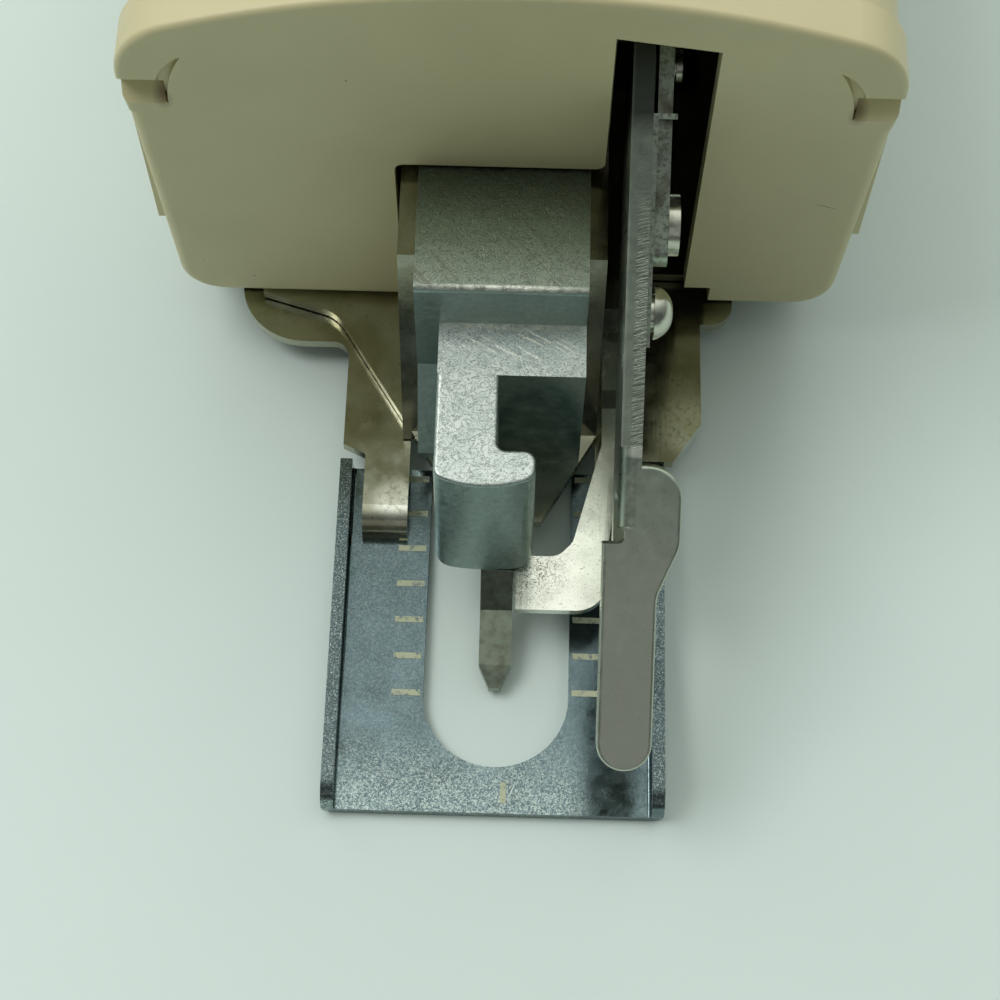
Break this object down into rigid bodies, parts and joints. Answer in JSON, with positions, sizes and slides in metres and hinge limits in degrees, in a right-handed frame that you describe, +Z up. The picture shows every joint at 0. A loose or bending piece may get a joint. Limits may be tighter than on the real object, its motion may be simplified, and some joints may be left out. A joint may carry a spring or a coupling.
{
  "type": "buttonhole attachment",
  "caption": "Sewing machine buttonhole attachment: cased feed mechanism with a needle-bar fork arm, a slotted cloth clamp on a sliding carrier and a cast foot for the presser bar.",
  "frame": {"origin": "below the middle of the whole object, on the bed it rests on", "axes": "+X to the operator's right, +Y to the rear, away from the cloth clamp, +Z up"},
  "size_m": [0.058, 0.1164, 0.053],
  "materials": {
    "cover_plastic": "satin moulded cream",
    "blued_steel": "blued",
    "nickel_steel": "bright nickel plate",
    "cast_zinc": "bright plated die casting",
    "sheared_steel": "stamped sheet steel",
    "spring_steel": "tempered spring strip",
    "turned_steel": "turned and plated",
    "knob_plastic": "moulded"
  },
  "bodies": {
    "frame": {"cover": "cover_plastic", "cover_screws": "turned_steel", "frame_plate": "nickel_steel", "attaching_foot": "cast_zinc", "foot_rivets": "turned_steel", "presser_toe": "nickel_steel", "toe_rivet": "turned_steel", "pivot_pin": "turned_steel", "pivot_washer": "turned_steel", "right_rail": "sheared_steel", "left_rail": "sheared_steel", "door_pin": "turned_steel", "spindle_bridge": "sheared_steel", "lever_screw": "turned_steel"},
    "fork": {"fork_arm": "sheared_steel", "pawl_lever": "sheared_steel", "pawl_spring": "spring_steel", "arm_rivet": "turned_steel", "spring_stud": "turned_steel", "pawl_pin": "turned_steel"},
    "pawl": {"feed_pawl": "sheared_steel"},
    "feed_spindle": {"spindle": "turned_steel", "ratchet_wheel": "sheared_steel", "bite_cam": "turned_steel", "tracking_pinion": "turned_steel", "advance_knob": "knob_plastic"},
    "slide": {"cross_slide": "nickel_steel", "bite_yoke": "sheared_steel"},
    "carrier": {"clamp_carrier": "nickel_steel", "cloth_clamp": "blued_steel"},
    "lever": {"width_lever": "nickel_steel"},
    "door": {"template_door": "nickel_steel"}
  },
  "joints": [
    {"name": "fork_swing", "type": "hinge", "parent": "frame", "child": "fork", "pos_m": [0.0097, -0.0038, 0.034], "axis": [-1, 0, 0], "range_deg": [0, 34]},
    {"name": "pawl_level", "type": "hinge", "parent": "fork", "child": "pawl", "pos_m": [0.0128, 0.0002, 0.02], "axis": [-1, 0, 0], "range_deg": [-34, 0]},
    {"name": "spindle_turn", "type": "hinge", "parent": "frame", "child": "feed_spindle", "pos_m": [0, 0.0202, 0.03], "axis": [0, 0, 1], "continuous": true},
    {"name": "bite_slide", "type": "slide", "parent": "frame", "child": "slide", "axis": [1, 0, 0], "range_m": [-0.002, 0.002]},
    {"name": "carrier_feed", "type": "slide", "parent": "slide", "child": "carrier", "axis": [0, 1, 0], "range_m": [-0.018, 0.0015]},
    {"name": "width_lever", "type": "hinge", "parent": "frame", "child": "lever", "pos_m": [0, 0.0382, 0.047], "axis": [0, 0, 1], "range_deg": [-25, 25]},
    {"name": "template_door", "type": "hinge", "parent": "frame", "child": "door", "pos_m": [0, 0.0562, 0.0016], "axis": [1, 0, 0], "range_deg": [0, 85]}
  ],
  "couplings": [
    {"joint": "pawl_level", "follows": "fork_swing", "ratio": -1}
  ]
}
